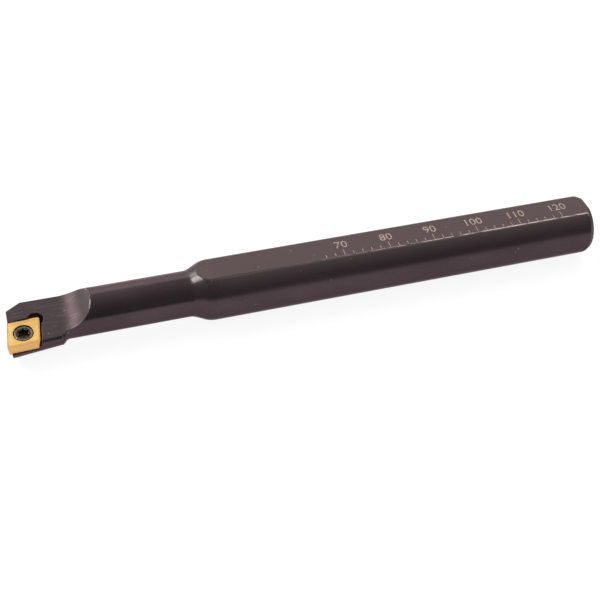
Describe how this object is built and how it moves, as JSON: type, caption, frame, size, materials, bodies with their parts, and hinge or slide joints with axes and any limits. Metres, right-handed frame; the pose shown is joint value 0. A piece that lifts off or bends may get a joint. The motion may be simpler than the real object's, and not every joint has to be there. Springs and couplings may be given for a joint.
{
  "type": "boring bar",
  "caption": "Round steel boring bar with a clamping flat, a slimmer neck and a small diamond-shaped cutting insert screwed to its tip.",
  "frame": {"origin": "centre of the shank's rear end face, on the shank's axis", "axes": "+X along the shank's axis out of its rear end, so the head and its cutting tip lie towards -X; +Z square to the clamping flat, up; the cutting edge is on the -Y side"},
  "size_m": [0.127, 0.0127, 0.0119],
  "materials": {
    "blackened_steel": "satin black oxide with a brown tinge",
    "gold_coated_carbide": "satin gold-coloured coating over sintered carbide",
    "dark_screw_steel": "satin dark oxide"
  },
  "bodies": {
    "bar": {"bar_body": "blackened_steel"},
    "insert": {"cutting_insert": "gold_coated_carbide"},
    "screw": {"clamp_screw": "dark_screw_steel"}
  },
  "joints": [
    {"name": "insert_lift", "type": "slide", "parent": "bar", "child": "insert", "axis": [0.0523, -0.113, 0.9922], "range_m": [0, 0.00405]},
    {"name": "screw_turn", "type": "hinge", "parent": "insert", "child": "screw", "pos_m": [-0.12355, -0.00295, 0.00021], "axis": [0.0523, -0.113, 0.9922], "range_deg": [0, 3241]}
  ],
  "couplings": [
    {"joint": "screw_turn", "follows": "insert_lift", "rad_per_m": 13963}
  ]
}
